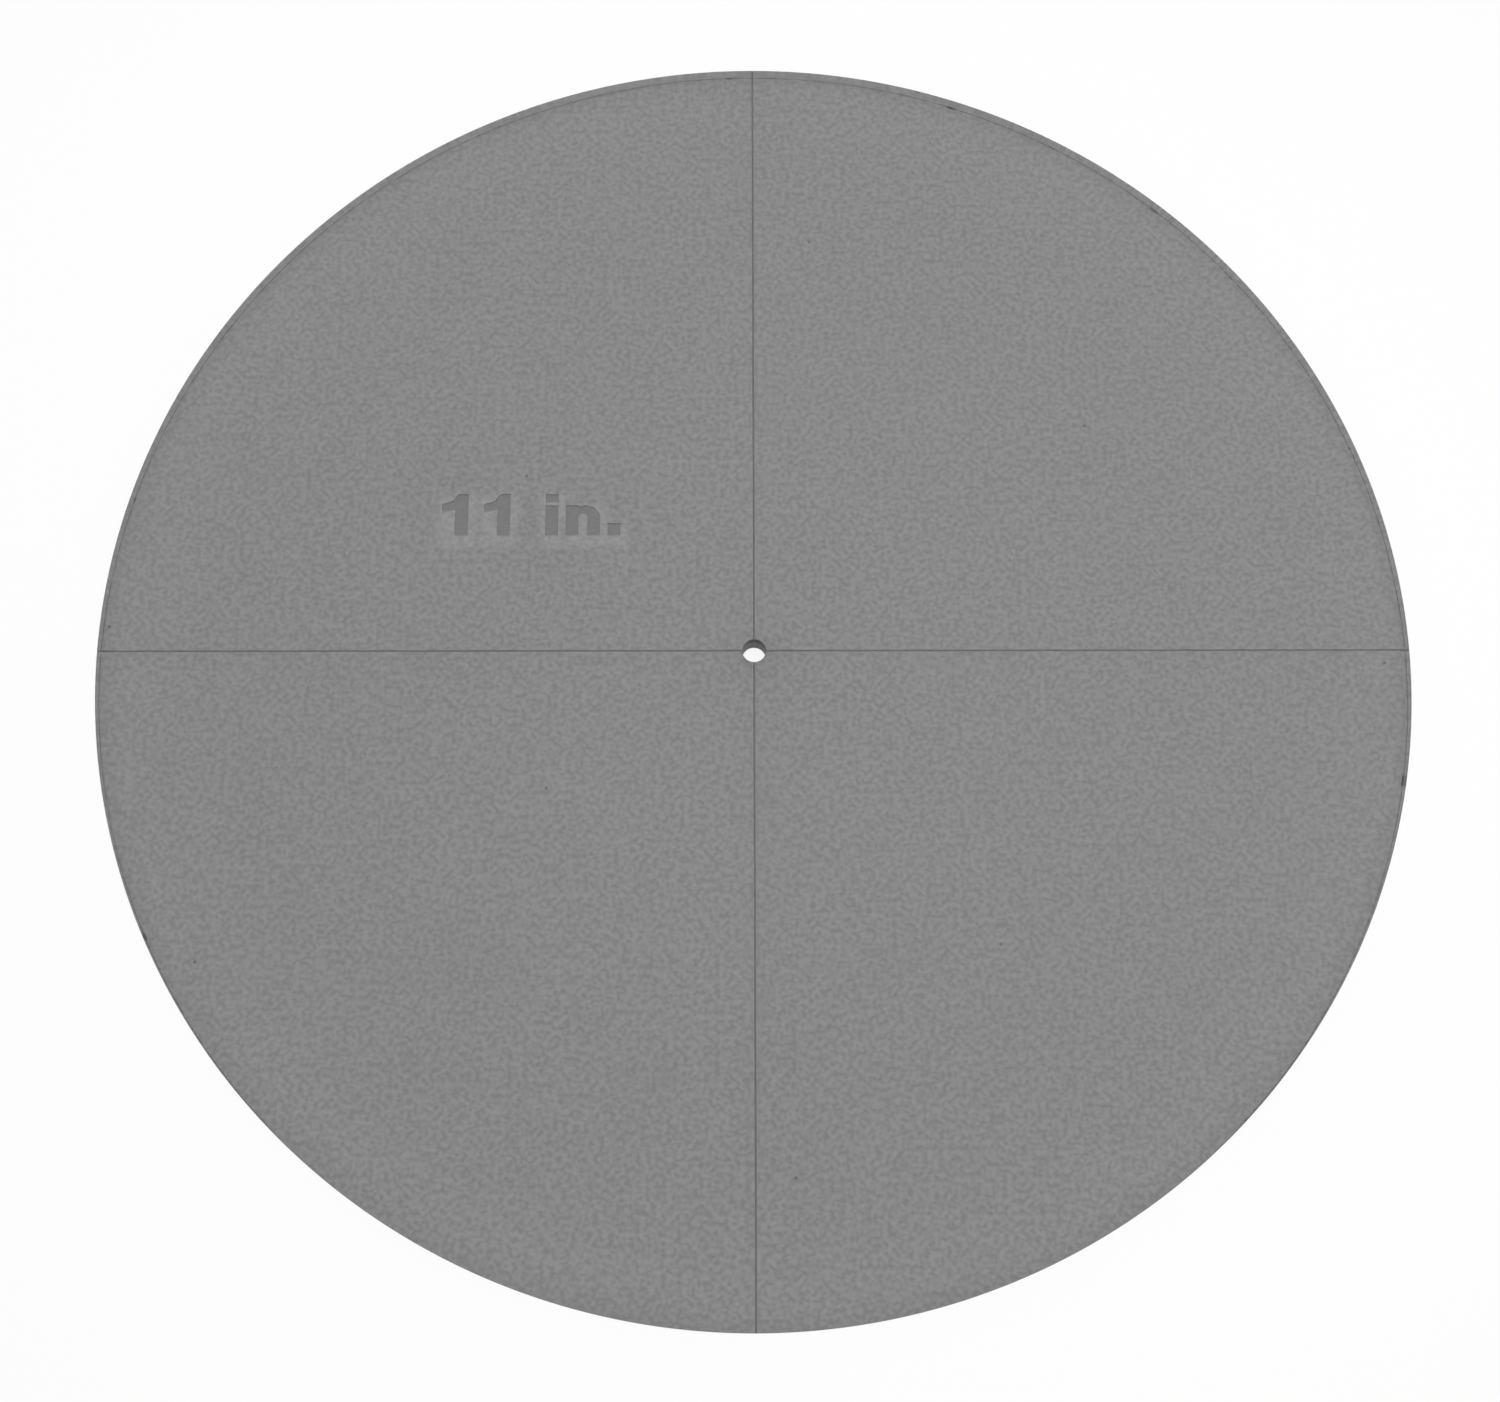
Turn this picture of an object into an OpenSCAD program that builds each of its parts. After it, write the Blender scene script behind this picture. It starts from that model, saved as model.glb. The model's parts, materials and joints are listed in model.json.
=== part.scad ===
// Circle template: a round plate of clear sheet plastic that a pencil or a router follows.
// It turns on a pin in its centre hole. Centre lines are engraved from rim to rim, and the
// template's own size is engraved beside them. The film that protects the sheet is still on
// the back, cut flush with it.
// The origin is the centre of the back, where the film rests on the work. +Z comes out of the
// engraved face, and +Y is the top of the lettering.

/* [Sheet] */
// Diameter of the template, which is the size of circle that it gives
template_d = 279.4; // [180:0.1:600]
// Thickness of the clear sheet
plate_t = 6; // [2:0.5:12]
// Thickness of the film on the back
film_t = 0.1; // [0.05:0.05:0.5]
// Bevel that takes the sharp edge off the rim, on the engraved side
rim_bevel = 0.2; // [0.05:0.05:1]

/* [Centre hole] */
// Diameter of the pin that the template turns on
pin_d = 4.76; // [2:0.01:12]
// Clearance all round that pin
pin_clearance = 0.12; // [0.05:0.01:0.5]

/* [Centre lines] */
// Width of an engraved centre line at the face
line_w = 0.4; // [0.2:0.05:1]
// Depth of its V groove
line_depth = 0.3; // [0.1:0.05:1]

/* [Size marking] */
// Height of the figures
figure_h = 9.5; // [9:0.1:14]
// Width of a figure
figure_w = 7.5; // [7.2:0.1:9]
// Height of the small letters
letter_h = 6.9; // [5.5:0.1:7.4]
// Width of the upright strokes
stroke_w = 2.8; // [1.5:0.05:3.2]
// Height of the level strokes
bar_h = 1.85; // [1:0.05:2.1]
// Gap between two characters
letter_gap = 1.6; // [0.5:0.1:4]
// Width of the space before the unit
space_w = 2.55; // [1:0.05:8]
// Depth of the engraving
mark_depth = 0.4; // [0.1:0.05:1]
// Distance from the end of the marking to the upright centre line
mark_x = 28.8; // [5:0.1:40]
// Height of its baseline above the level centre line
mark_y = 26.1; // [5:0.1:40]

/* [Hidden] */
$fn = 96;
inch = 25.4;
past = 1;                              // how far a cutter runs past what it cuts
rim_r = template_d / 2;
face_z = film_t + plate_t;             // height of the engraved face
hole_d = pin_d + 2 * pin_clearance;
size_in = round(template_d / inch * 100) / 100;
marking = str(size_in, " in.");
bowl_h = (figure_h + bar_h) / 2;       // of an 8, whose two bowls share their middle stroke
tall_bowl_h = 0.62 * figure_h;         // of a 5, 6 or 9

// ---- strokes of the figures, each with its lower left corner at 0, 0 ----

// Bar with round ends along its longer side
module slot(w, h) {
    d = min(w, h);
    translate([d / 2, d / 2]) circle(d = d);
    translate([w - d / 2, h - d / 2]) circle(d = d);
    if (w > h) translate([d / 2, 0]) square([w - d, h]);
    if (h > w) translate([0, d / 2]) square([w, h - d]);
}

// Closed loop of a given height with the strokes' own widths
module bowl(h) {
    difference() {
        slot(figure_w, h);
        translate([stroke_w, bar_h]) slot(figure_w - 2 * stroke_w, h - 2 * bar_h);
    }
}

// ---- figures and letters ----

module one() {
    flag_w = 1.02 * stroke_w;
    stem_r = flag_w + stroke_w;        // right side of the stem
    polygon([
        [flag_w, 0], [stem_r, 0], [stem_r, figure_h], [flag_w + 0.2 * stroke_w, figure_h],
        [0.8 * flag_w, 0.83 * figure_h], [0, 0.76 * figure_h],
        [0, 0.57 * figure_h], [flag_w, 0.63 * figure_h]
    ]);
}

module two() {
    turn_y = figure_h - bowl_h / 2;    // where the curve meets the slanting stroke
    square([figure_w, bar_h]);
    polygon([
        [0, bar_h], [1.4 * stroke_w, bar_h], [figure_w, turn_y - 0.4 * bar_h],
        [figure_w, turn_y], [figure_w - stroke_w, turn_y]
    ]);
    intersection() {
        translate([0, figure_h - bowl_h]) bowl(bowl_h);
        translate([0, turn_y]) square([figure_w, bowl_h]);
    }
}

module three() {
    difference() {
        eight();
        translate([-past, bowl_h / 2]) square([past + figure_w / 2, figure_h - bowl_h]);
    }
}

module four() {
    stem_x = figure_w - 1.3 * stroke_w;
    bar_y = 0.2 * figure_h;
    translate([stem_x, 0]) square([stroke_w, figure_h]);
    translate([0, bar_y]) square([figure_w, bar_h]);
    polygon([
        [0, bar_y + bar_h / 2], [0, bar_y + 1.2 * bar_h], [stem_x, figure_h],
        [stem_x + stroke_w / 2, figure_h], [stem_x, 0.7 * figure_h],
        [0.55 * stroke_w, bar_y + bar_h], [0.55 * stroke_w, bar_y + bar_h / 2]
    ]);
}

module five() {
    gap_y = 0.4 * tall_bowl_h;         // the opening on the left of its bowl
    gap_h = 0.22 * tall_bowl_h;
    difference() {
        bowl(tall_bowl_h);
        translate([-past, gap_y]) square([past + figure_w / 2, gap_h]);
    }
    translate([0, gap_y + gap_h]) square([0.8 * stroke_w, figure_h - gap_y - gap_h]);
    translate([0, figure_h - bar_h]) square([0.94 * figure_w, bar_h]);
}

module six() {
    bowl(tall_bowl_h);
    difference() {
        bowl(figure_h);
        translate([figure_w / 2, tall_bowl_h / 2]) square([figure_w, tall_bowl_h / 2 + 0.1 * figure_h]);
    }
}

module seven() {
    polygon([
        [0.2 * figure_w, 0], [0.2 * figure_w + stroke_w, 0], [figure_w, figure_h - bar_h],
        [figure_w, figure_h], [0, figure_h], [0, figure_h - bar_h],
        [figure_w - 1.05 * stroke_w, figure_h - bar_h]
    ]);
}

module eight() {
    bowl(bowl_h);
    translate([0, figure_h - bowl_h]) bowl(bowl_h);
}

module nine() {
    translate([figure_w, figure_h]) rotate(180) six();
}

module letter_i() {
    square([stroke_w, letter_h]);
    translate([0, figure_h - bar_h]) square([stroke_w, bar_h]);
}

module letter_n() {
    counter_w = figure_w - 2 * stroke_w;
    shoulder_r = 0.42 * figure_w;
    difference() {
        union() {
            square([stroke_w, letter_h]);
            translate([figure_w - shoulder_r, letter_h - shoulder_r]) circle(r = shoulder_r);
            translate([figure_w - 2 * shoulder_r, 0])
                square([2 * shoulder_r, letter_h - shoulder_r]);
        }
        translate([stroke_w, -past])
            square([counter_w, letter_h - bar_h - counter_w / 2 + past]);
        translate([stroke_w + counter_w / 2, letter_h - bar_h - counter_w / 2])
            circle(d = counter_w);
    }
}

module character(c) {
    if (c == "0") bowl(figure_h);
    if (c == "1") one();
    if (c == "2") two();
    if (c == "3") three();
    if (c == "4") four();
    if (c == "5") five();
    if (c == "6") six();
    if (c == "7") seven();
    if (c == "8") eight();
    if (c == "9") nine();
    if (c == "i") letter_i();
    if (c == "n") letter_n();
    if (c == ".") square(stroke_w);
}

// Width of one character, and the length of the first n of a text with the gap after each
function width(c) = c == " " ? space_w : c == "i" || c == "." ? stroke_w : figure_w;
function length_of(text, n) = n == 0 ? 0 : length_of(text, n - 1) + width(text[n - 1]) + letter_gap;

// The template's size in inches, drawn so that it ends at 0, 0
module size_marking() {
    whole = length_of(marking, len(marking)) - letter_gap;
    for (i = [0 : len(marking) - 1])
        translate([length_of(marking, i) - whole, 0]) character(marking[i]);
}

// ---- cutters ----

// V groove right across the plate, in the direction of angle
module centre_line(angle) {
    rotate([90, 0, 90 + angle])
        linear_extrude(height = template_d + 2 * past, center = true)
            polygon([[-line_w / 2, 0], [0, -line_depth], [line_w / 2, 0],
                     [line_w / 2, past], [-line_w / 2, past]]);
}

module centre_hole() {
    translate([0, 0, -past]) cylinder(d = hole_d, h = face_z + 2 * past);
}

// ---- sub-parts ----

module template_plate() {
    color([0.72, 0.73, 0.74, 0.6])
        difference() {
            rotate_extrude()
                polygon([[0, film_t], [rim_r, film_t], [rim_r, face_z - rim_bevel],
                         [rim_r - rim_bevel, face_z], [0, face_z]]);
            centre_hole();
            translate([0, 0, face_z]) {
                centre_line(0);
                centre_line(90);
            }
            translate([-mark_x, mark_y, face_z - mark_depth])
                linear_extrude(height = mark_depth + past) size_marking();
        }
}

module masking_film() {
    color([0.54, 0.54, 0.54])
        difference() {
            cylinder(r = rim_r, h = film_t);
            centre_hole();
        }
}

template_plate();
masking_film();
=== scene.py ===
"""Circle template: a round plate of clear acrylic, engraved with centre lines and its size,
with its grey masking film still on the back."""

import json
import math

import bmesh
import bpy
from mathutils import Matrix, Vector


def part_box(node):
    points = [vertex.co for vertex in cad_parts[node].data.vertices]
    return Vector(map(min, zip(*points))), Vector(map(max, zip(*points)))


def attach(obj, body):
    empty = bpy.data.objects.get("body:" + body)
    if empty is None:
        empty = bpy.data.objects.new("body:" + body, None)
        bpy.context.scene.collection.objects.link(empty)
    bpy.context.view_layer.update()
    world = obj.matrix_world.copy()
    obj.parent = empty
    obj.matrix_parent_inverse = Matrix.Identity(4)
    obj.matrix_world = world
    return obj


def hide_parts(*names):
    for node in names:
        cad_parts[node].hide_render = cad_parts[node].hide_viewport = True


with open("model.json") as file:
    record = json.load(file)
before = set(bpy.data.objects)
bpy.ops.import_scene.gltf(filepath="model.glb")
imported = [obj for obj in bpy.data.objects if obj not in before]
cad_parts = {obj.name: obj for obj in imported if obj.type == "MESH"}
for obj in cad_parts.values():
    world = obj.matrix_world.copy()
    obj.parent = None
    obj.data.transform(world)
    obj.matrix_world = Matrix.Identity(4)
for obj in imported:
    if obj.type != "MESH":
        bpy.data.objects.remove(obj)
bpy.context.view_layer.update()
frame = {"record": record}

# ---------------------------------------------------------------- sizes, in millimetres

MM = 0.001

MOUNTS = {mount["name"]: mount for mount in frame["record"]["mounts"]}
PLATE_LOW, PLATE_HIGH = (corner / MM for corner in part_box("template_plate"))
FILM_LOW, FILM_HIGH = (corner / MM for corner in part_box("masking_film"))

RIM_R = MOUNTS["rim"]["dims"]["r_mm"]
HOLE_R = MOUNTS["centre_hole"]["dims"]["r_mm"]
FACE_Z = PLATE_HIGH.z                # the engraved face
PLATE_BACK_Z = PLATE_LOW.z
FILM_BACK_Z = FILM_LOW.z
FILM_BOND = 0.02                     # how far the film's tack reaches into the sheet

RIM_BEVEL = 0.2                      # rounded arris of the rim, on the engraved side
HOLE_BEVEL = 0.08                    # and of the centre hole
BACK_BEVEL = 0.02                    # and of both on the back
ARRIS_STEPS = 4                      # flats in the quarter turn of an arris
FILM_INSET = 0.005                   # keeps the film's edge just behind the rim's wall
RIM_STEPS = 480                      # flats round the rim and the hole

LINE_W = 0.4                         # V grooves of the centre lines
LINE_DEPTH = 0.3

FIGURE_H = 9.5                       # size marking
FIGURE_W = 7.5
LETTER_H = 6.9
STROKE_W = 2.8                       # upright strokes
BAR_H = 1.85                         # level strokes
LETTER_GAP = 1.6
SPACE_W = 2.55
MARK_DEPTH = 0.4
MARK_X = 28.8                        # from the end of the marking to the upright centre line
MARK_Y = 26.1                        # from its baseline to the level centre line
PAST = 1.0                           # how far a cutter runs past the face


# ---------------------------------------------------------------- outlines of the marking


def arc(centre_x, centre_y, radius, start, stop, steps=14):
    """Points along an arc, from one angle to another in degrees."""
    angles = (math.radians(start + (stop - start) * i / steps) for i in range(steps + 1))
    return [(centre_x + radius * math.cos(a), centre_y + radius * math.sin(a)) for a in angles]


def block(x, y, width, height):
    """A rectangle, from its lower left corner."""
    return [(x, y), (x + width, y), (x + width, y + height), (x, y + height)]


def figure_one():
    flag = 1.02 * STROKE_W
    stem = flag + STROKE_W
    return [[
        (flag, 0), (stem, 0), (stem, FIGURE_H), (flag + 0.2 * STROKE_W, FIGURE_H),
        (0.8 * flag, 0.83 * FIGURE_H), (0, 0.76 * FIGURE_H),
        (0, 0.57 * FIGURE_H), (flag, 0.63 * FIGURE_H),
    ]]


def letter_i():
    return [
        block(0, 0, STROKE_W, LETTER_H),
        block(0, FIGURE_H - BAR_H, STROKE_W, BAR_H),
    ]


def letter_n():
    counter = FIGURE_W - 2 * STROKE_W
    counter_top = LETTER_H - BAR_H - counter / 2
    shoulder = 0.42 * FIGURE_W
    shoulder_x, shoulder_y = FIGURE_W - shoulder, LETTER_H - shoulder
    notch = math.degrees(math.acos((STROKE_W - shoulder_x) / shoulder))
    outline = [(0, 0), (STROKE_W, 0)]
    outline += arc(STROKE_W + counter / 2, counter_top, counter / 2, 180, 0)
    outline += [(FIGURE_W - STROKE_W, 0), (FIGURE_W, 0)]
    outline += arc(shoulder_x, shoulder_y, shoulder, 0, notch, 24)
    outline += [(STROKE_W, LETTER_H), (0, LETTER_H)]
    return [outline]


def full_stop():
    return [block(0, 0, STROKE_W, STROKE_W)]


CHARACTERS = {
    "1": (figure_one, FIGURE_W),
    "i": (letter_i, STROKE_W),
    "n": (letter_n, FIGURE_W),
    ".": (full_stop, STROKE_W),
    " ": (list, SPACE_W),
}
MARKING = "11 in."


def marking_outlines():
    """Every outline of the size marking, where it lies on the plate."""
    length = sum(CHARACTERS[c][1] + LETTER_GAP for c in MARKING) - LETTER_GAP
    x = -MARK_X - length
    placed = []
    for c in MARKING:
        draw, width = CHARACTERS[c]
        placed += [[(x + px, MARK_Y + py) for px, py in outline] for outline in draw()]
        x += width + LETTER_GAP
    return placed


# ---------------------------------------------------------------- meshes


def new_piece(name, mesh):
    """Puts a mesh in the scene as an object."""
    piece = bpy.data.objects.new(name, mesh)
    bpy.context.scene.collection.objects.link(piece)
    return piece


def finished_mesh(name, bm):
    """A mesh in metres, with its normals outwards, from one built in millimetres."""
    bmesh.ops.recalc_face_normals(bm, faces=bm.faces)
    bmesh.ops.scale(bm, vec=(MM, MM, MM), verts=bm.verts)
    mesh = bpy.data.meshes.new(name)
    bm.to_mesh(mesh)
    bm.free()
    return mesh


def turned_ring(name, section, steps=RIM_STEPS):
    """A solid ring: its section, a closed outline of (radius, height) points, swept right round."""
    bm = bmesh.new()
    rings = []
    for radius, height in section:
        angles = (2 * math.pi * (i + 0.5) / steps for i in range(steps))
        rings.append([
            bm.verts.new((radius * math.cos(a), radius * math.sin(a), height)) for a in angles
        ])
    for here, ahead in zip(rings, rings[1:] + rings[:1]):
        for i in range(steps):
            j = (i + 1) % steps
            bm.faces.new((here[i], here[j], ahead[j], ahead[i]))
    return new_piece(name, finished_mesh(name, bm))


def prism(bm, outline, low, high):
    """Adds the solid that an outline sweeps between two heights."""
    base = [bm.verts.new((x, y, low)) for x, y in outline]
    top = [bm.verts.new((x, y, high)) for x, y in outline]
    bm.faces.new(reversed(base))
    bm.faces.new(top)
    for i in range(len(outline)):
        j = (i + 1) % len(outline)
        bm.faces.new((base[i], base[j], top[j], top[i]))


def marking_cutter():
    bm = bmesh.new()
    for outline in marking_outlines():
        prism(bm, outline, FACE_Z - MARK_DEPTH, FACE_Z + PAST)
    return new_piece("marking_cutter", finished_mesh("marking_cutter", bm))


def groove_cutter(angle):
    """V groove from rim to rim, along X turned by angle."""
    bm = bmesh.new()
    half = LINE_W / 2
    section = [(-half, 0), (0, -LINE_DEPTH), (half, 0), (half, PAST), (-half, PAST)]
    reach = RIM_R + PAST
    near = [bm.verts.new((-reach, y, FACE_Z + z)) for y, z in section]
    far = [bm.verts.new((reach, y, FACE_Z + z)) for y, z in section]
    bm.faces.new(near)
    bm.faces.new(reversed(far))
    for i in range(len(section)):
        j = (i + 1) % len(section)
        bm.faces.new((near[i], far[i], far[j], near[j]))
    bmesh.ops.rotate(bm, verts=bm.verts, matrix=Matrix.Rotation(math.radians(angle), 3, "Z"))
    return new_piece("groove_cutter", finished_mesh("groove_cutter", bm))


def cut(piece, *cutters):
    """Takes the cutters' shapes out of a piece, and deletes them."""
    for cutter in cutters:
        boolean = piece.modifiers.new("cut", "BOOLEAN")
        boolean.object = cutter
        boolean.operation = "DIFFERENCE"
        boolean.solver = "EXACT"
    graph = bpy.context.evaluated_depsgraph_get()
    whole = bpy.data.meshes.new_from_object(piece.evaluated_get(graph))
    whole.name = piece.name
    old = piece.data
    piece.modifiers.clear()
    piece.data = whole
    bpy.data.meshes.remove(old)
    for cutter in cutters:
        bpy.data.objects.remove(cutter)


def rounded(radius, height, size, start):
    """Section of a rounded arris, a quarter turn about (radius, height) from an angle."""
    return arc(radius, height, size, start, start + 90, ARRIS_STEPS)


def make_plate():
    """The clear sheet, turned from its section and engraved."""
    section = rounded(RIM_R - BACK_BEVEL, PLATE_BACK_Z + BACK_BEVEL, BACK_BEVEL, -90)
    section += rounded(RIM_R - RIM_BEVEL, FACE_Z - RIM_BEVEL, RIM_BEVEL, 0)
    section += rounded(HOLE_R + HOLE_BEVEL, FACE_Z - HOLE_BEVEL, HOLE_BEVEL, 90)
    section += rounded(HOLE_R + BACK_BEVEL, PLATE_BACK_Z + BACK_BEVEL, BACK_BEVEL, 180)
    plate = turned_ring("acrylic_plate", section)
    cut(plate, groove_cutter(0), groove_cutter(90), marking_cutter())
    return plate


def make_film():
    """The film on the back, cut flush with the plate."""
    top = FILM_HIGH.z + FILM_BOND
    return turned_ring("masking_film_sheet", [
        (RIM_R - FILM_INSET, FILM_BACK_Z), (RIM_R - FILM_INSET, top),
        (HOLE_R + FILM_INSET, top), (HOLE_R + FILM_INSET, FILM_BACK_Z),
    ])


# ---------------------------------------------------------------- shader maths


class Value:
    """A socket that adds its own Math nodes when it is used in an expression."""

    def __init__(self, tree, socket):
        self.tree = tree
        self.socket = socket

    def maths(self, operation, *others):
        return self.tree.node("ShaderNodeMath", {"operation": operation}, [self, *others])

    def __add__(self, other):
        return self.maths("ADD", other)

    def __sub__(self, other):
        return self.maths("SUBTRACT", other)

    def __rsub__(self, other):
        return self.tree.node("ShaderNodeMath", {"operation": "SUBTRACT"}, [other, self])

    def __mul__(self, other):
        return self.maths("MULTIPLY", other)

    def __truediv__(self, other):
        return self.maths("DIVIDE", other)

    def __rtruediv__(self, other):
        return self.tree.node("ShaderNodeMath", {"operation": "DIVIDE"}, [other, self])

    def __abs__(self):
        return self.maths("ABSOLUTE")

    __radd__ = __add__
    __rmul__ = __mul__

    def ramp(self, low, high, at_low=0.0, at_high=1.0):
        """Smooth step from at_low to at_high as the value goes from low to high."""
        return self.tree.node(
            "ShaderNodeMapRange", {"interpolation_type": "SMOOTHSTEP"},
            {"Value": self, "From Min": low, "From Max": high, "To Min": at_low, "To Max": at_high},
        )


class Tree:
    """A material's, a world's or a lamp's node tree."""

    def __init__(self, owner):
        owner.use_nodes = True
        self.nodes = owner.node_tree.nodes
        self.links = owner.node_tree.links
        self.nodes.clear()

    def node(self, kind, settings=None, inputs=None, output=0):
        """Adds a node, sets its settings and then its inputs, and returns one of its outputs."""
        made = self.nodes.new(kind)
        for name, value in (settings or {}).items():
            setattr(made, name, value)
        given = inputs or {}
        pairs = given.items() if isinstance(given, dict) else enumerate(given)
        for name, value in pairs:
            if isinstance(value, Value):
                self.links.new(value.socket, made.inputs[name])
            else:
                made.inputs[name].default_value = value
        return Value(self, made.outputs[output])

    def mix(self, share, first, second):
        """A colour between two, each a colour, a plain number for a grey, or a link."""
        return self.node(
            "ShaderNodeMix", {"data_type": "RGBA"},
            {"Factor": share, 6: grey(first), 7: grey(second)}, output=2,
        )

    def mix_shader(self, share, first, second):
        return self.node("ShaderNodeMixShader", inputs=[share, first, second])

    def place(self):
        """Coordinates on the piece, in metres in its own frame."""
        return self.node("ShaderNodeTexCoord", output="Object")

    def parts_of(self, vector):
        """The X, Y and Z of a vector."""
        split = self.node("ShaderNodeSeparateXYZ", inputs=[vector])
        outputs = split.socket.node.outputs
        return [Value(self, outputs[i]) for i in range(3)]

    def noise(self, where, per_mm, detail=2.0, roughness=0.5):
        """Even noise about 0.5, with features of about 1 / per_mm millimetres."""
        return self.node(
            "ShaderNodeTexNoise", {},
            {"Vector": where, "Scale": per_mm / MM, "Detail": detail, "Roughness": roughness},
        )

    def stretched(self, where, x=1.0, y=1.0, z=1.0):
        """Coordinates that draw a pattern out along each axis whose share is under 1."""
        return self.node(
            "ShaderNodeVectorMath", {"operation": "MULTIPLY"}, [where, (x, y, z)]
        )

    def bump(self, height, depth_mm, strength=1.0):
        return self.node(
            "ShaderNodeBump", {},
            {"Strength": strength, "Distance": depth_mm * MM, "Height": height},
        )

    def surface(self, shader, kind="ShaderNodeOutputMaterial"):
        """Ends the tree in its output node."""
        self.links.new(shader.socket, self.nodes.new(kind).inputs["Surface"])


def grey(value):
    """A plain number as a neutral colour; a colour or a link stays as it is."""
    return (value, value, value, 1.0) if isinstance(value, (int, float)) else value


# ---------------------------------------------------------------- materials

ACRYLIC_IOR = 1.49
SHEET_PASSES = 0.96                  # share of the lamps' light that one face lets through
WIPED = (0.965, 0.965, 0.968, 1.0)   # a face where a cloth has dulled it
PAINTED_SHADE_TOWARDS = (0.75, 0.65)        # side of the hole with the most painted shade, as X and Y


def acrylic(tree, passes=SHEET_PASSES, **inputs):
    """Clear plastic that lets the lamps reach what is behind it."""
    body = tree.node("ShaderNodeBsdfPrincipled", {}, {
        "IOR": ACRYLIC_IOR, "Transmission Weight": 1.0, **inputs,
    })
    open_to_lamps = tree.node("ShaderNodeBsdfTransparent", {}, {"Color": grey(passes)})
    lamp_ray = tree.node("ShaderNodeLightPath", output="Is Shadow Ray")
    return tree.mix_shader(lamp_ray, body, open_to_lamps)


def polished_face():
    """Cast face of the sheet, wiped by hand here and there."""
    material = bpy.data.materials.new("polished_acrylic")
    tree = Tree(material)
    where = tree.place()
    wiped = tree.noise(where, 1 / 25, 3.0).ramp(0.45, 0.75)
    tree.surface(acrylic(tree, **{
        "Base Color": tree.mix(wiped, 0.985, WIPED),
        "Roughness": 0.02 + 0.03 * wiped,
    }))
    return material


def cut_rim():
    """Rim that the laser leaves clear, with faint upright streaks."""
    material = bpy.data.materials.new("laser_cut_rim")
    tree = Tree(material)
    streaks = tree.noise(tree.stretched(tree.place(), z=0.05), 1.2, 3.0)
    tree.surface(acrylic(tree, **{
        "Base Color": tree.mix(streaks.ramp(0.3, 0.7), 0.84, 0.96),
        "Roughness": 0.02 + 0.06 * streaks,
    }))
    return material


def cut_hole():
    """Wall of the centre hole: on its open side dark with painted shade, uneven in rings and darkest
    towards one side, and clear from within the sheet.
    """
    material = bpy.data.materials.new("laser_cut_hole")
    tree = Tree(material)
    where = tree.place()
    x, y, _ = tree.parts_of(where)
    rings = tree.noise(tree.stretched(where, x=0.25, y=0.25), 0.7, 2.0)
    side = (PAINTED_SHADE_TOWARDS[0] * x + PAINTED_SHADE_TOWARDS[1] * y) / (HOLE_R * MM)
    # painted shade: the open side of the wall is darkened, unevenly in rings and most towards one
    # side
    painted_shade_mask = 0.6 * rings.ramp(0.4, 0.6) + 0.4 * side.ramp(0.0, 0.9)
    painted_shade_wall = tree.node("ShaderNodeBsdfPrincipled", {}, {
        "Base Color": tree.mix(painted_shade_mask, 0.20, 0.03),
        "Roughness": 0.45 + 0.2 * rings,
        "IOR": ACRYLIC_IOR,
    })
    within = tree.node("ShaderNodeNewGeometry", output="Backfacing")
    tree.surface(tree.mix_shader(within, painted_shade_wall, acrylic(tree, **{"Roughness": 0.02})))
    return material


def engraved(raster):
    """Frosted floor of the engraving. Rastered figures show the laser's fine level passes."""
    material = bpy.data.materials.new("engraved_figures" if raster else "engraved_lines")
    tree = Tree(material)
    where = tree.place()
    grain = tree.noise(where, 3.0, 3.0)
    if raster:
        level_passes = tree.noise(tree.stretched(where, x=0.12, z=0.0), 4.0, 2.0)
        grain = 0.45 * grain + 0.55 * level_passes
        light, dark = 0.52, 0.38
    else:
        light, dark = 0.50, 0.36
    tree.surface(acrylic(tree, **{
        "Base Color": tree.mix(grain.ramp(0.35, 0.65), dark, light),
        "Roughness": 0.35 + 0.2 * grain,
        "Normal": tree.bump(grain, 0.02, 0.6),
    }))
    return material


def shaded_engraved_wall():
    """Upright sides of the figures, given a darker grey than the floors as painted shade."""
    material = bpy.data.materials.new("engraved_sides")
    tree = Tree(material)
    grain = tree.noise(tree.place(), 3.0, 2.0)
    tree.surface(acrylic(tree, **{
        # painted shade: the sides are darker than the frosted floors of the same plastic
        "Base Color": tree.mix(grain, 0.16, 0.26),
        "Roughness": 0.3 + 0.2 * grain,
    }))
    return material


FILM_GREY = (0.172, 0.172, 0.174, 1.0)
FILM_PALE = (0.256, 0.256, 0.258, 1.0)
SCORCH = (0.030, 0.028, 0.026, 1.0)
SPECK_SPACING = 85                   # millimetres between one dark speck of dirt and the next
PAINTED_GLOW = 0.055                         # painted light: how much paler the film is made where the frosted figures would throw light on it
GLOW_REACH = 2.6                     # and how far it spreads


def painted_glow_of_figures(x, y):
    """Mask of painted light: 1 under the size marking, fading to 0 over its reach. Each outline
    counts as its box.
    """
    nearest = None
    for outline in marking_outlines():
        beyond = []
        for along, ends in ((x, [p[0] for p in outline]), (y, [p[1] for p in outline])):
            middle, half = (max(ends) + min(ends)) / 2, (max(ends) - min(ends)) / 2
            beyond.append((abs(along - middle) - half).maths("MAXIMUM", 0.0))
        away = (beyond[0] * beyond[0] + beyond[1] * beyond[1]).maths("SQRT")
        nearest = away if nearest is None else nearest.maths("MINIMUM", away)
    return nearest.ramp(0.0, GLOW_REACH, 1.0, 0.0)


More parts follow.
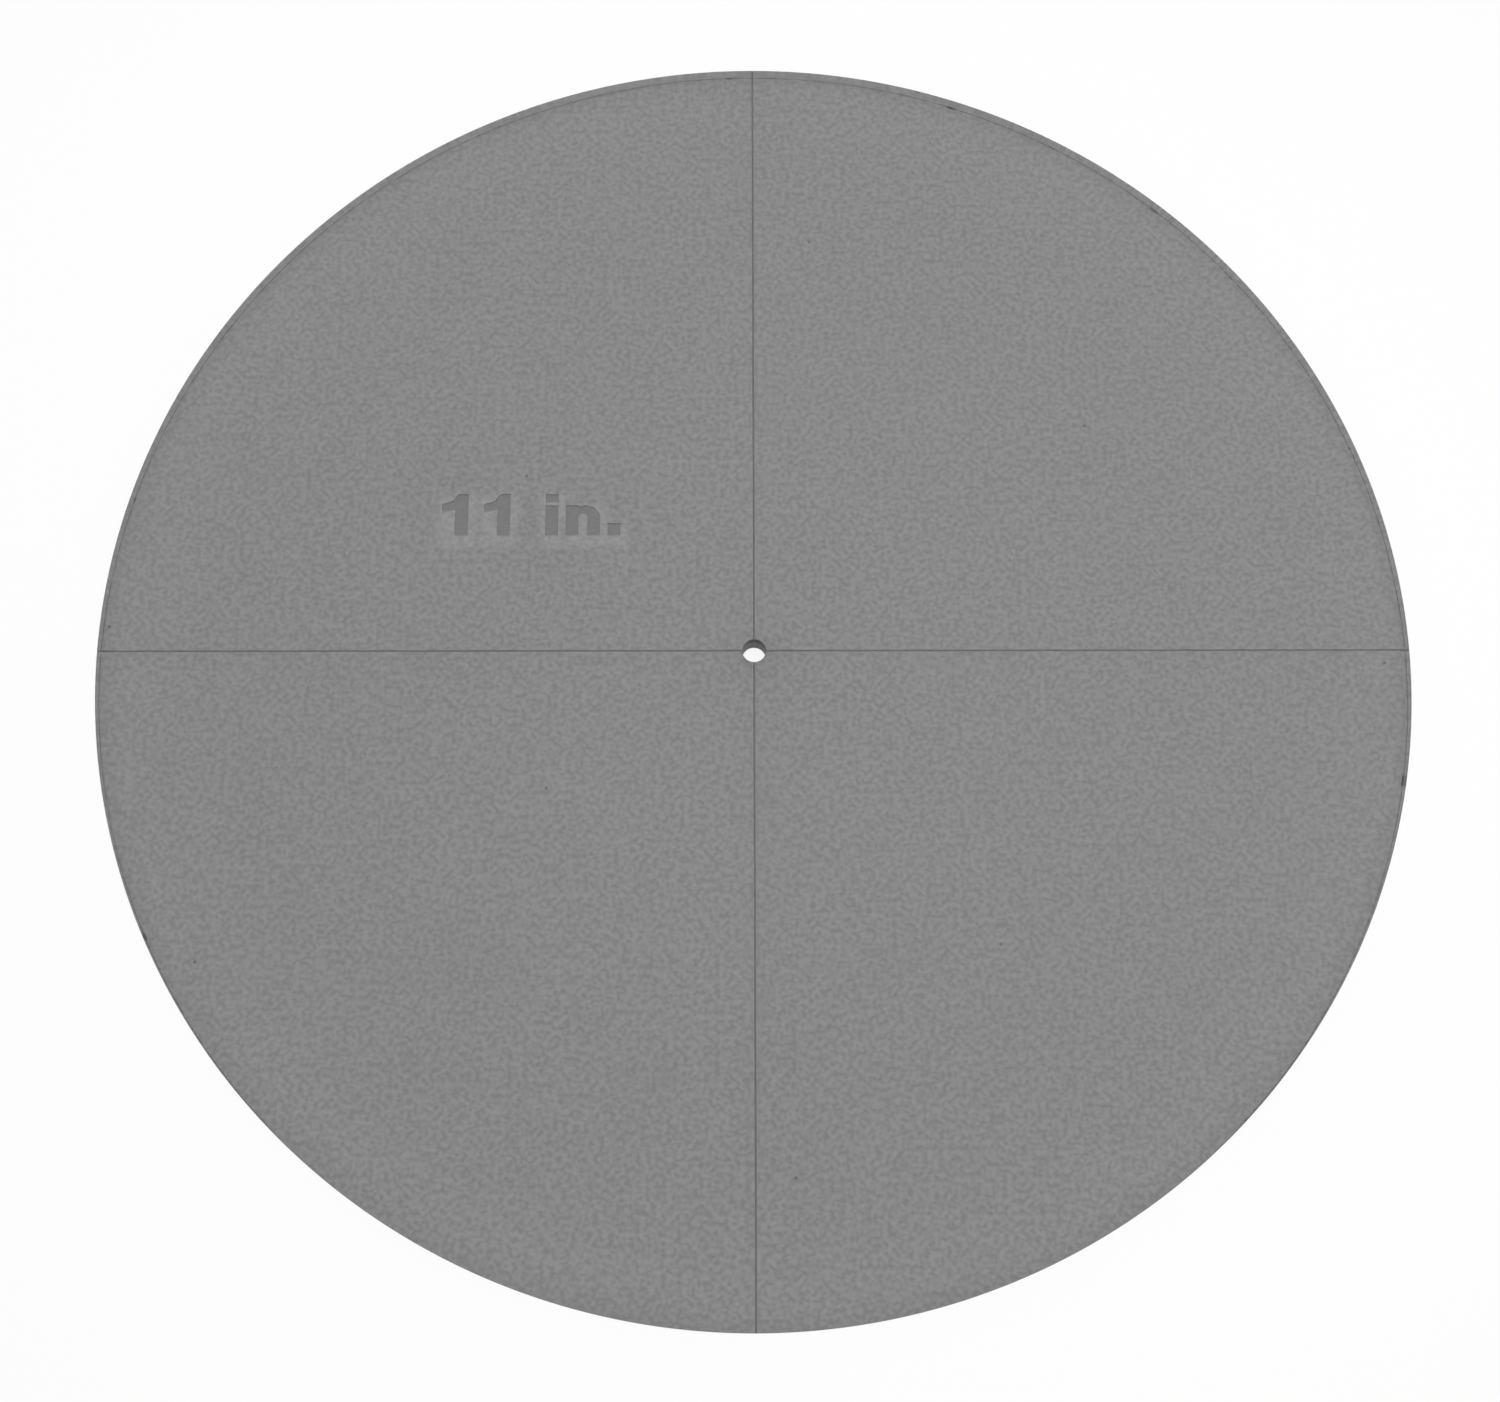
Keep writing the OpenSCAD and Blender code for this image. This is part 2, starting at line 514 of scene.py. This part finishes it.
def film_finish():
    """Grey masking film: a fine matt grain, painted light under the size marking, a few dark specks,
    and scorched along its cut rim.
    """
    material = bpy.data.materials.new("masking_film")
    tree = Tree(material)
    where = tree.place()
    x, y, _ = tree.parts_of(where)
    radius = (x * x + y * y).maths("SQRT") / MM

    grain = tree.noise(where, 0.95, 1.0, 0.6)
    mottle = tree.noise(where, 1 / 12, 3.0)
    colour = tree.mix(0.8 * grain.ramp(0.28, 0.72) + 0.2 * mottle, FILM_GREY, FILM_PALE)

    # painted light: the film is paled towards white under and around the size marking
    colour = tree.mix(PAINTED_GLOW * painted_glow_of_figures(x / MM, y / MM), colour, 1.0)

    ragged = tree.noise(where, 0.45, 3.0, 0.65)
    line = (radius + 0.3 * ragged).ramp(RIM_R - 0.05, RIM_R + 0.1)
    colour = tree.mix(0.6 * line, colour, SCORCH)
    burnt = tree.noise(where, 0.16, 1.0).ramp(0.66, 0.70)
    flecks = (radius + 0.5 * ragged).ramp(RIM_R - 0.15, RIM_R) * burnt
    colour = tree.mix(0.9 * flecks, colour, SCORCH)

    to_speck = tree.node(
        "ShaderNodeTexVoronoi", {"voronoi_dimensions": "2D", "feature": "F1"},
        {"Vector": where, "Scale": 1 / SPECK_SPACING / MM},
    )
    specks = (to_speck * SPECK_SPACING).ramp(0.2, 0.4, 1.0, 0.0)
    colour = tree.mix(0.7 * specks, colour, SCORCH)

    tree.surface(tree.node("ShaderNodeBsdfPrincipled", {}, {
        "Base Color": colour, "Roughness": 0.75 + 0.1 * mottle,
    }))
    return material


POLISHED, RIM, HOLE, FIGURES, SIDES, LINES = range(6)
LEVEL = 0.999                        # least upward share of a level face's normal
SKIN = 0.01                          # play for telling which surface a face lies on
SHARP = 20                           # degrees from which an edge is shaded as sharp


def finish_plate(plate):
    """Gives the faces, the cut edges and the engraving of the plate their own finishes."""
    mesh = plate.data
    mesh.materials.clear()
    for material in (
        polished_face(), cut_rim(), cut_hole(), engraved(True), shaded_engraved_wall(), engraved(False),
    ):
        mesh.materials.append(material)
    for face in mesh.polygons:
        centre = face.center / MM
        radius = math.hypot(centre.x, centre.y)
        in_groove = min(abs(centre.x), abs(centre.y)) < LINE_W / 2
        level = abs(face.normal.z) > LEVEL
        sunk = FACE_Z - MARK_DEPTH - SKIN < centre.z < FACE_Z - SKIN
        if radius < HOLE_R + HOLE_BEVEL:
            face.material_index = HOLE
        elif radius > RIM_R - RIM_BEVEL:
            face.material_index = RIM
        elif sunk and in_groove:
            face.material_index = LINES
        elif sunk:
            face.material_index = FIGURES if level else SIDES
        else:
            face.material_index = POLISHED
    mesh.set_sharp_from_angle(angle=math.radians(SHARP))


# ---------------------------------------------------------------- the template

plate = make_plate()
finish_plate(plate)
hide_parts("template_plate")
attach(plate, "root")

film = make_film()
film.data.materials.append(film_finish())
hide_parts("masking_film")
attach(film, "root")

# ---------------------------------------------------------------- floor, light and camera

FLOOR_R = 6000                       # half the floor's width
FLOOR_GAP = 0.02                     # between the floor and the film
FLOOR_PAPER = 0.9
FLOOR_WHITE = 1.02                   # light of the plain white that the floor shows
FLOOR_SHADOW = 0.15                  # how much of its own light and shade it shows


def seen_directly(tree):
    """1 for a ray that shows the surface itself, plain, mirrored or through something clear."""
    path = tree.node("ShaderNodeLightPath").socket.node.outputs
    rays = [Value(tree, path[f"Is {kind} Ray"]) for kind in ("Camera", "Glossy", "Transmission")]
    return rays[0].maths("MAXIMUM", rays[1].maths("MAXIMUM", rays[2]))


def white_floor():
    """A pale floor that looks plain white and keeps the template's shadow."""
    bm = bmesh.new()
    bmesh.ops.create_grid(bm, x_segments=8, y_segments=8, size=FLOOR_R)
    bmesh.ops.translate(bm, verts=bm.verts, vec=(0, 0, FILM_BACK_Z - FLOOR_GAP))
    floor = new_piece("floor", finished_mesh("floor", bm))
    material = bpy.data.materials.new("white_floor")
    tree = Tree(material)
    paper = tree.node("ShaderNodeBsdfDiffuse", {}, {"Color": grey(FLOOR_PAPER)})
    white = tree.node("ShaderNodeEmission", {}, {"Color": grey(1.0), "Strength": FLOOR_WHITE})
    shown = tree.mix_shader(FLOOR_SHADOW, white, paper)
    tree.surface(tree.mix_shader(seen_directly(tree), paper, shown))
    floor.data.materials.append(material)


def white_world(strength):
    """Even light from all round, before a white backdrop."""
    world = bpy.data.worlds.new("studio")
    bpy.context.scene.world = world
    tree = Tree(world)
    lighting = tree.node("ShaderNodeBackground", {}, {"Color": grey(1.0), "Strength": strength})
    backdrop = tree.node("ShaderNodeBackground", {}, {"Color": grey(1.0), "Strength": 1.0})
    tree.surface(
        tree.mix_shader(seen_directly(tree), lighting, backdrop), "ShaderNodeOutputWorld"
    )


def softbox(name, at, width, watts, colour):
    """A square lamp that faces the template and isn't mirrored in it."""
    lamp = bpy.data.lights.new(name, "AREA")
    lamp.shape = "SQUARE"
    lamp.size = width * MM
    lamp.energy = watts
    lamp.color = colour
    box = bpy.data.objects.new(name, lamp)
    bpy.context.scene.collection.objects.link(box)
    box.location = Vector(at) * MM
    box.rotation_euler = (-box.location).to_track_quat("-Z", "Y").to_euler()
    box.visible_glossy = False
    box.visible_transmission = False


CAMERA_AT = Vector((-3.25, -138.5, 448.3))   # from the centre of the engraved face
CAMERA_TURN = (15.86, -0.26, -0.14)          # degrees about X, Y and Z, from straight down
LENS = 52.9
SENSOR_W = 36.0


def make_camera():
    """The camera, with its place and turn taken about the engraved face."""
    camera = bpy.data.cameras.new("camera")
    camera.lens = LENS
    camera.sensor_width = SENSOR_W
    camera.clip_start = 0.01
    camera.clip_end = 50.0
    holder = bpy.data.objects.new("camera", camera)
    bpy.context.scene.collection.objects.link(holder)
    face = Vector((0, 0, FACE_Z))
    holder.location = (CAMERA_AT + face) * MM
    holder.rotation_euler = [math.radians(angle) for angle in CAMERA_TURN]
    bpy.context.scene.camera = holder


white_floor()
white_world(0.42)
softbox("key", (75, 20, 520), 300, 1.6, (1.0, 0.985, 0.965))
softbox("daylight", (-430, 340, 400), 300, 0.4, (0.80, 0.92, 1.0))
make_camera()
bpy.context.scene.view_settings.view_transform = "Standard"
